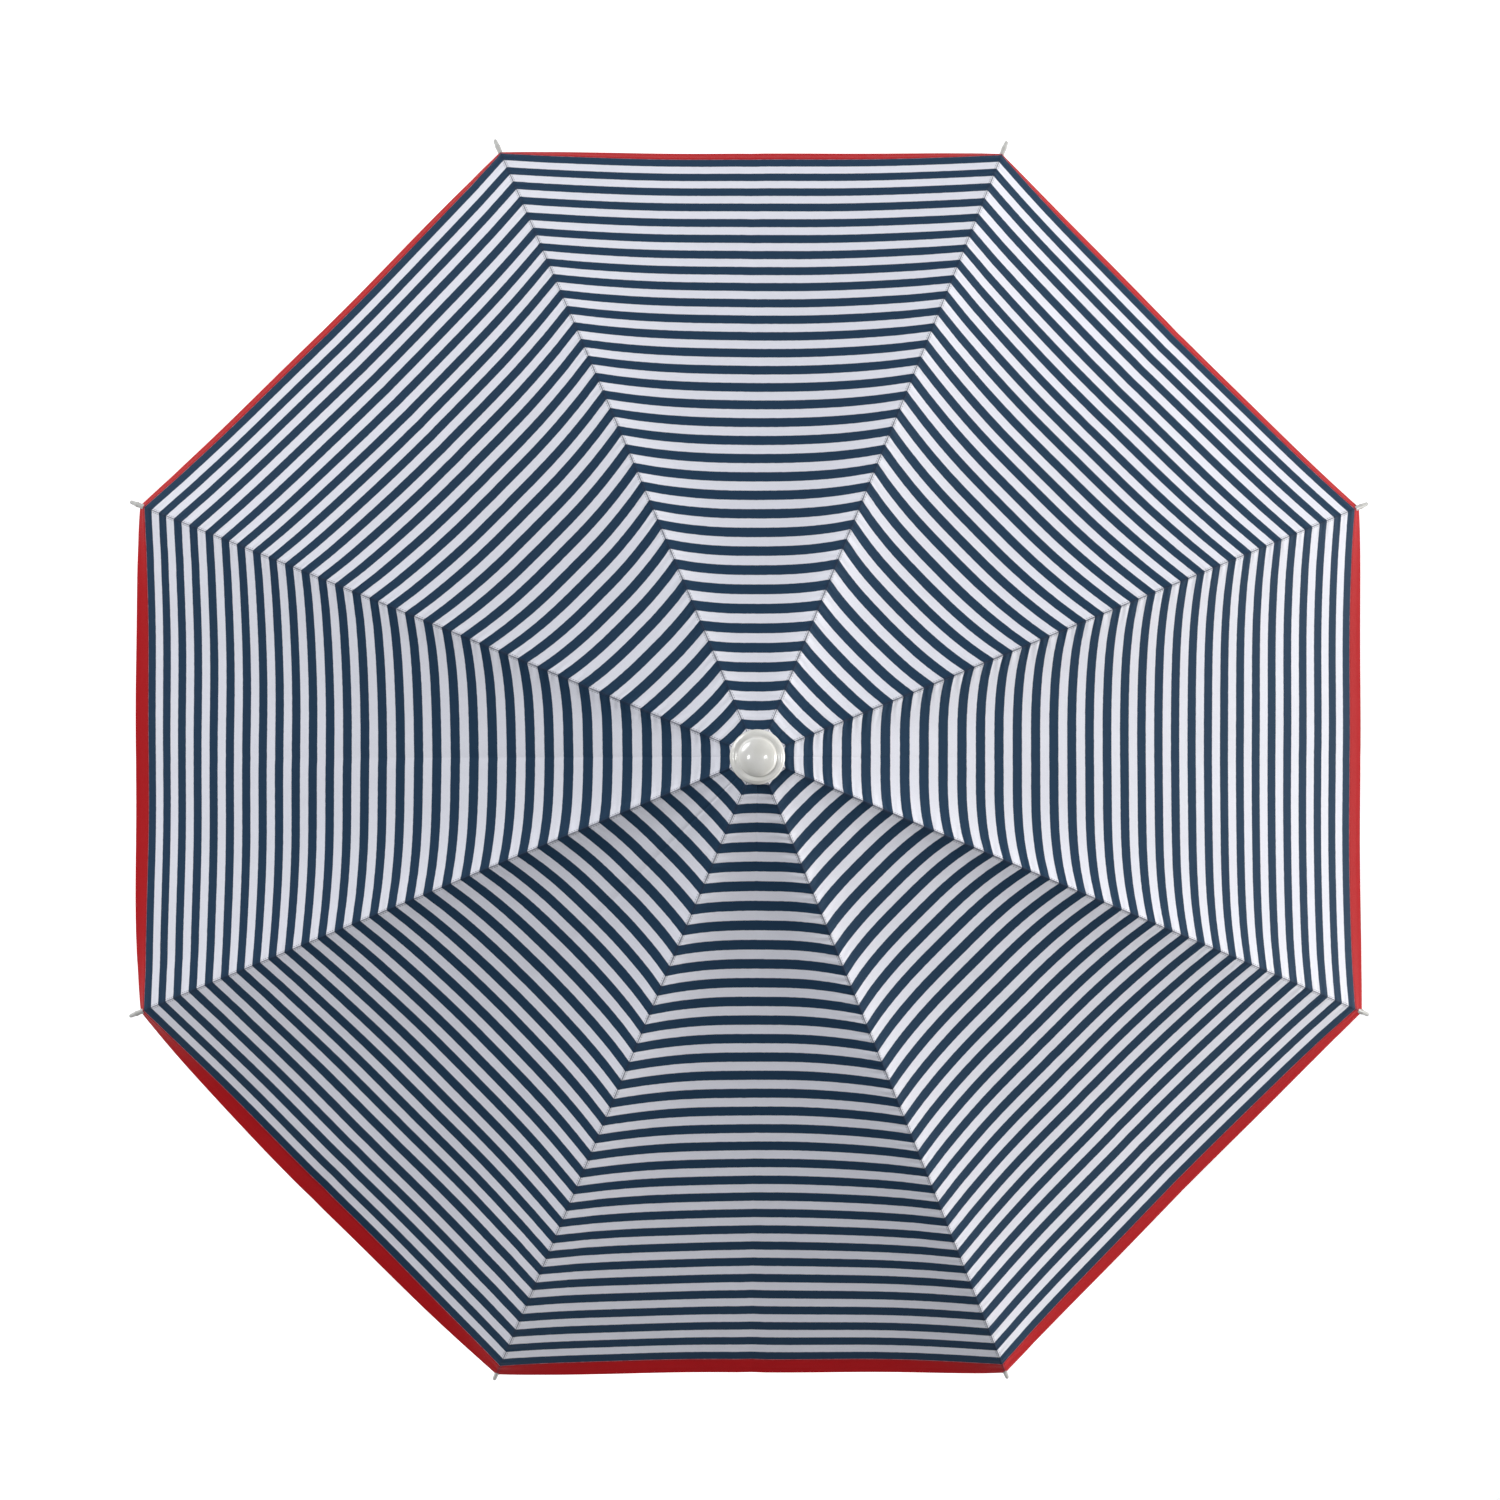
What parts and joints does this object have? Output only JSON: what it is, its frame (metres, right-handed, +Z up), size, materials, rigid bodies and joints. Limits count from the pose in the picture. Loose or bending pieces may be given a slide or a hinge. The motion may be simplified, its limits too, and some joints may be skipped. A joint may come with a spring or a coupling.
{
  "type": "beach umbrella",
  "caption": "Folding beach umbrella: octagonal striped cloth canopy on sprung ribs and stretchers, sliding runner, telescopic mast with a tilt joint and clamp, and a ground spike.",
  "frame": {"origin": "tip of the ground spike, on the mast axis, with the mast upright", "axes": "+Z up along the mast; +X and +Y point at the middles of two panels; the tilt button faces -Y and the clamp knob faces +X"},
  "size_m": [1.563, 1.563, 2.0168],
  "materials": {
    "cap_pearl": "pearl gloss",
    "canopy_cloth": "plain weave, navy and white stripes with a red edge",
    "pale_plastic": "satin",
    "rib_steel": "zinc plated",
    "hub_plastic": "satin",
    "pole_paint": "gloss paint",
    "pin_steel": "polished",
    "joint_plastic": "satin",
    "button_plastic": "satin",
    "spring_steel": "bright wire",
    "spike_plastic": "moulded"
  },
  "bodies": {
    "lower": {"ground_spike": "spike_plastic", "lower_pole": "pole_paint", "clamp_collar": "joint_plastic"},
    "clamp_knob": {"clamp_knob": "button_plastic"},
    "middle": {"middle_pole": "pole_paint", "tilt_socket": "joint_plastic", "tilt_pin": "pin_steel"},
    "upper": {"upper_pole": "pole_paint", "tilt_head": "joint_plastic", "crown_hub": "hub_plastic", "crown_wire": "pin_steel", "crown_cap": "cap_pearl", "tilt_button_spring": "spring_steel"},
    "tilt_button": {"tilt_button": "button_plastic"},
    "runner": {"runner": "hub_plastic"},
    "runner_button": {"runner_button": "button_plastic"},
    "rib_1": {"rib_1": "rib_steel", "rib_tip_1": "pale_plastic"},
    "rib_2": {"rib_2": "rib_steel", "rib_tip_2": "pale_plastic"},
    "rib_3": {"rib_3": "rib_steel", "rib_tip_3": "pale_plastic"},
    "rib_4": {"rib_4": "rib_steel", "rib_tip_4": "pale_plastic"},
    "rib_5": {"rib_5": "rib_steel", "rib_tip_5": "pale_plastic"},
    "rib_6": {"rib_6": "rib_steel", "rib_tip_6": "pale_plastic"},
    "rib_7": {"rib_7": "rib_steel", "rib_tip_7": "pale_plastic"},
    "rib_8": {"rib_8": "rib_steel", "rib_tip_8": "pale_plastic"},
    "stretcher_1": {"stretcher_1": "rib_steel"},
    "stretcher_2": {"stretcher_2": "rib_steel"},
    "stretcher_3": {"stretcher_3": "rib_steel"},
    "stretcher_4": {"stretcher_4": "rib_steel"},
    "stretcher_5": {"stretcher_5": "rib_steel"},
    "stretcher_6": {"stretcher_6": "rib_steel"},
    "stretcher_7": {"stretcher_7": "rib_steel"},
    "stretcher_8": {"stretcher_8": "rib_steel"},
    "canopy_1_left": {"canopy_1_left": "canopy_cloth"},
    "canopy_1_right": {"canopy_1_right": "canopy_cloth"},
    "canopy_2_left": {"canopy_2_left": "canopy_cloth"},
    "canopy_2_right": {"canopy_2_right": "canopy_cloth"},
    "canopy_3_left": {"canopy_3_left": "canopy_cloth"},
    "canopy_3_right": {"canopy_3_right": "canopy_cloth"},
    "canopy_4_left": {"canopy_4_left": "canopy_cloth"},
    "canopy_4_right": {"canopy_4_right": "canopy_cloth"},
    "canopy_5_left": {"canopy_5_left": "canopy_cloth"},
    "canopy_5_right": {"canopy_5_right": "canopy_cloth"},
    "canopy_6_left": {"canopy_6_left": "canopy_cloth"},
    "canopy_6_right": {"canopy_6_right": "canopy_cloth"},
    "canopy_7_left": {"canopy_7_left": "canopy_cloth"},
    "canopy_7_right": {"canopy_7_right": "canopy_cloth"},
    "canopy_8_left": {"canopy_8_left": "canopy_cloth"},
    "canopy_8_right": {"canopy_8_right": "canopy_cloth"}
  },
  "joints": [
    {"name": "clamp_knob_turn", "type": "hinge", "parent": "lower", "child": "clamp_knob", "pos_m": [0.03, 0, 0.822], "axis": [1, 0, 0], "range_deg": [0, 360]},
    {"name": "height_slide", "type": "slide", "parent": "lower", "child": "middle", "axis": [0, 0, 1], "range_m": [-0.15, 0.05]},
    {"name": "tilt", "type": "hinge", "parent": "middle", "child": "upper", "pos_m": [0, 0, 1.06], "axis": [1, 0, 0], "range_deg": [0, 40]},
    {"name": "tilt_button_press", "type": "slide", "parent": "upper", "child": "tilt_button", "axis": [0, 1, 0], "range_m": [0, 0.003], "stiffness_N_per_m": 400, "springref_m": -0.001, "deforming": ["tilt_button_spring"]},
    {"name": "runner_slide", "type": "slide", "parent": "upper", "child": "runner", "axis": [0, 0, -1], "range_m": [0, 0.509]},
    {"name": "runner_button_press", "type": "slide", "parent": "runner", "child": "runner_button", "axis": [-1, 0, 0], "range_m": [0, 0.0018], "stiffness_N_per_m": 400, "springref_m": -0.001},
    {"name": "rib_1_fold", "type": "hinge", "parent": "upper", "child": "rib_1", "pos_m": [0.01848, 0.00765, 2], "axis": [-0.3827, 0.9239, 0], "range_deg": [0, 67.02]},
    {"name": "stretcher_1_swing", "type": "hinge", "parent": "rib_1", "child": "stretcher_1", "pos_m": [0.33826, 0.14011, 1.90084], "axis": [-0.3827, 0.9239, 0], "range_deg": [-135.27, 0]},
    {"name": "canopy_1_left_fold", "type": "hinge", "parent": "rib_1", "child": "canopy_1_left", "pos_m": [0.01972, 0.00817, 2.00502], "axis": [0.8924, 0.3696, -0.2588], "range_deg": [0, 57.12], "deforming": ["canopy_1_left"]},
    {"name": "canopy_1_right_fold", "type": "hinge", "parent": "rib_1", "child": "canopy_1_right", "pos_m": [0.01972, 0.00817, 2.00502], "axis": [-0.8924, -0.3696, 0.2588], "range_deg": [0, 57.12], "deforming": ["canopy_1_right"]},
    {"name": "rib_2_fold", "type": "hinge", "parent": "upper", "child": "rib_2", "pos_m": [0.00765, 0.01848, 2], "axis": [-0.9239, 0.3827, 0], "range_deg": [0, 67.02]},
    {"name": "stretcher_2_swing", "type": "hinge", "parent": "rib_2", "child": "stretcher_2", "pos_m": [0.14011, 0.33826, 1.90084], "axis": [-0.9239, 0.3827, 0], "range_deg": [-135.27, 0]},
    {"name": "canopy_2_left_fold", "type": "hinge", "parent": "rib_2", "child": "canopy_2_left", "pos_m": [0.00817, 0.01972, 2.00502], "axis": [0.3696, 0.8924, -0.2588], "range_deg": [0, 57.12], "deforming": ["canopy_2_left"]},
    {"name": "canopy_2_right_fold", "type": "hinge", "parent": "rib_2", "child": "canopy_2_right", "pos_m": [0.00817, 0.01972, 2.00502], "axis": [-0.3696, -0.8924, 0.2588], "range_deg": [0, 57.12], "deforming": ["canopy_2_right"]},
    {"name": "rib_3_fold", "type": "hinge", "parent": "upper", "child": "rib_3", "pos_m": [-0.00765, 0.01848, 2], "axis": [-0.9239, -0.3827, 0], "range_deg": [0, 67.02]},
    {"name": "stretcher_3_swing", "type": "hinge", "parent": "rib_3", "child": "stretcher_3", "pos_m": [-0.14011, 0.33826, 1.90084], "axis": [-0.9239, -0.3827, 0], "range_deg": [-135.27, 0]},
    {"name": "canopy_3_left_fold", "type": "hinge", "parent": "rib_3", "child": "canopy_3_left", "pos_m": [-0.00817, 0.01972, 2.00502], "axis": [-0.3696, 0.8924, -0.2588], "range_deg": [0, 57.12], "deforming": ["canopy_3_left"]},
    {"name": "canopy_3_right_fold", "type": "hinge", "parent": "rib_3", "child": "canopy_3_right", "pos_m": [-0.00817, 0.01972, 2.00502], "axis": [0.3696, -0.8924, 0.2588], "range_deg": [0, 57.12], "deforming": ["canopy_3_right"]},
    {"name": "rib_4_fold", "type": "hinge", "parent": "upper", "child": "rib_4", "pos_m": [-0.01848, 0.00765, 2], "axis": [-0.3827, -0.9239, 0], "range_deg": [0, 67.02]},
    {"name": "stretcher_4_swing", "type": "hinge", "parent": "rib_4", "child": "stretcher_4", "pos_m": [-0.33826, 0.14011, 1.90084], "axis": [-0.3827, -0.9239, 0], "range_deg": [-135.27, 0]},
    {"name": "canopy_4_left_fold", "type": "hinge", "parent": "rib_4", "child": "canopy_4_left", "pos_m": [-0.01972, 0.00817, 2.00502], "axis": [-0.8924, 0.3696, -0.2588], "range_deg": [0, 57.12], "deforming": ["canopy_4_left"]},
    {"name": "canopy_4_right_fold", "type": "hinge", "parent": "rib_4", "child": "canopy_4_right", "pos_m": [-0.01972, 0.00817, 2.00502], "axis": [0.8924, -0.3696, 0.2588], "range_deg": [0, 57.12], "deforming": ["canopy_4_right"]},
    {"name": "rib_5_fold", "type": "hinge", "parent": "upper", "child": "rib_5", "pos_m": [-0.01848, -0.00765, 2], "axis": [0.3827, -0.9239, 0], "range_deg": [0, 67.02]},
    {"name": "stretcher_5_swing", "type": "hinge", "parent": "rib_5", "child": "stretcher_5", "pos_m": [-0.33826, -0.14011, 1.90084], "axis": [0.3827, -0.9239, 0], "range_deg": [-135.27, 0]},
    {"name": "canopy_5_left_fold", "type": "hinge", "parent": "rib_5", "child": "canopy_5_left", "pos_m": [-0.01972, -0.00817, 2.00502], "axis": [-0.8924, -0.3696, -0.2588], "range_deg": [0, 57.12], "deforming": ["canopy_5_left"]},
    {"name": "canopy_5_right_fold", "type": "hinge", "parent": "rib_5", "child": "canopy_5_right", "pos_m": [-0.01972, -0.00817, 2.00502], "axis": [0.8924, 0.3696, 0.2588], "range_deg": [0, 57.12], "deforming": ["canopy_5_right"]},
    {"name": "rib_6_fold", "type": "hinge", "parent": "upper", "child": "rib_6", "pos_m": [-0.00765, -0.01848, 2], "axis": [0.9239, -0.3827, 0], "range_deg": [0, 67.02]},
    {"name": "stretcher_6_swing", "type": "hinge", "parent": "rib_6", "child": "stretcher_6", "pos_m": [-0.14011, -0.33826, 1.90084], "axis": [0.9239, -0.3827, 0], "range_deg": [-135.27, 0]},
    {"name": "canopy_6_left_fold", "type": "hinge", "parent": "rib_6", "child": "canopy_6_left", "pos_m": [-0.00817, -0.01972, 2.00502], "axis": [-0.3696, -0.8924, -0.2588], "range_deg": [0, 57.12], "deforming": ["canopy_6_left"]},
    {"name": "canopy_6_right_fold", "type": "hinge", "parent": "rib_6", "child": "canopy_6_right", "pos_m": [-0.00817, -0.01972, 2.00502], "axis": [0.3696, 0.8924, 0.2588], "range_deg": [0, 57.12], "deforming": ["canopy_6_right"]},
    {"name": "rib_7_fold", "type": "hinge", "parent": "upper", "child": "rib_7", "pos_m": [0.00765, -0.01848, 2], "axis": [0.9239, 0.3827, 0], "range_deg": [0, 67.02]},
    {"name": "stretcher_7_swing", "type": "hinge", "parent": "rib_7", "child": "stretcher_7", "pos_m": [0.14011, -0.33826, 1.90084], "axis": [0.9239, 0.3827, 0], "range_deg": [-135.27, 0]},
    {"name": "canopy_7_left_fold", "type": "hinge", "parent": "rib_7", "child": "canopy_7_left", "pos_m": [0.00817, -0.01972, 2.00502], "axis": [0.3696, -0.8924, -0.2588], "range_deg": [0, 57.12], "deforming": ["canopy_7_left"]},
    {"name": "canopy_7_right_fold", "type": "hinge", "parent": "rib_7", "child": "canopy_7_right", "pos_m": [0.00817, -0.01972, 2.00502], "axis": [-0.3696, 0.8924, 0.2588], "range_deg": [0, 57.12], "deforming": ["canopy_7_right"]},
    {"name": "rib_8_fold", "type": "hinge", "parent": "upper", "child": "rib_8", "pos_m": [0.01848, -0.00765, 2], "axis": [0.3827, 0.9239, 0], "range_deg": [0, 67.02]},
    {"name": "stretcher_8_swing", "type": "hinge", "parent": "rib_8", "child": "stretcher_8", "pos_m": [0.33826, -0.14011, 1.90084], "axis": [0.3827, 0.9239, 0], "range_deg": [-135.27, 0]},
    {"name": "canopy_8_left_fold", "type": "hinge", "parent": "rib_8", "child": "canopy_8_left", "pos_m": [0.01972, -0.00817, 2.00502], "axis": [0.8924, -0.3696, -0.2588], "range_deg": [0, 57.12], "deforming": ["canopy_8_left"]},
    {"name": "canopy_8_right_fold", "type": "hinge", "parent": "rib_8", "child": "canopy_8_right", "pos_m": [0.01972, -0.00817, 2.00502], "axis": [-0.8924, 0.3696, 0.2588], "range_deg": [0, 57.12], "deforming": ["canopy_8_right"]}
  ],
  "couplings": [
    {"joint": "rib_1_fold", "follows": "runner_slide", "rad_per_m": 2.2974},
    {"joint": "stretcher_1_swing", "follows": "runner_slide", "rad_per_m": -4.6375},
    {"joint": "canopy_1_left_fold", "follows": "runner_slide", "rad_per_m": 1.9579},
    {"joint": "canopy_1_right_fold", "follows": "runner_slide", "rad_per_m": 1.9579},
    {"joint": "rib_2_fold", "follows": "runner_slide", "rad_per_m": 2.2974},
    {"joint": "stretcher_2_swing", "follows": "runner_slide", "rad_per_m": -4.6375},
    {"joint": "canopy_2_left_fold", "follows": "runner_slide", "rad_per_m": 1.9579},
    {"joint": "canopy_2_right_fold", "follows": "runner_slide", "rad_per_m": 1.9579},
    {"joint": "rib_3_fold", "follows": "runner_slide", "rad_per_m": 2.2974},
    {"joint": "stretcher_3_swing", "follows": "runner_slide", "rad_per_m": -4.6375},
    {"joint": "canopy_3_left_fold", "follows": "runner_slide", "rad_per_m": 1.9579},
    {"joint": "canopy_3_right_fold", "follows": "runner_slide", "rad_per_m": 1.9579},
    {"joint": "rib_4_fold", "follows": "runner_slide", "rad_per_m": 2.2974},
    {"joint": "stretcher_4_swing", "follows": "runner_slide", "rad_per_m": -4.6375},
    {"joint": "canopy_4_left_fold", "follows": "runner_slide", "rad_per_m": 1.9579},
    {"joint": "canopy_4_right_fold", "follows": "runner_slide", "rad_per_m": 1.9579},
    {"joint": "rib_5_fold", "follows": "runner_slide", "rad_per_m": 2.2974},
    {"joint": "stretcher_5_swing", "follows": "runner_slide", "rad_per_m": -4.6375},
    {"joint": "canopy_5_left_fold", "follows": "runner_slide", "rad_per_m": 1.9579},
    {"joint": "canopy_5_right_fold", "follows": "runner_slide", "rad_per_m": 1.9579},
    {"joint": "rib_6_fold", "follows": "runner_slide", "rad_per_m": 2.2974},
    {"joint": "stretcher_6_swing", "follows": "runner_slide", "rad_per_m": -4.6375},
    {"joint": "canopy_6_left_fold", "follows": "runner_slide", "rad_per_m": 1.9579},
    {"joint": "canopy_6_right_fold", "follows": "runner_slide", "rad_per_m": 1.9579},
    {"joint": "rib_7_fold", "follows": "runner_slide", "rad_per_m": 2.2974},
    {"joint": "stretcher_7_swing", "follows": "runner_slide", "rad_per_m": -4.6375},
    {"joint": "canopy_7_left_fold", "follows": "runner_slide", "rad_per_m": 1.9579},
    {"joint": "canopy_7_right_fold", "follows": "runner_slide", "rad_per_m": 1.9579},
    {"joint": "rib_8_fold", "follows": "runner_slide", "rad_per_m": 2.2974},
    {"joint": "stretcher_8_swing", "follows": "runner_slide", "rad_per_m": -4.6375},
    {"joint": "canopy_8_left_fold", "follows": "runner_slide", "rad_per_m": 1.9579},
    {"joint": "canopy_8_right_fold", "follows": "runner_slide", "rad_per_m": 1.9579}
  ]
}
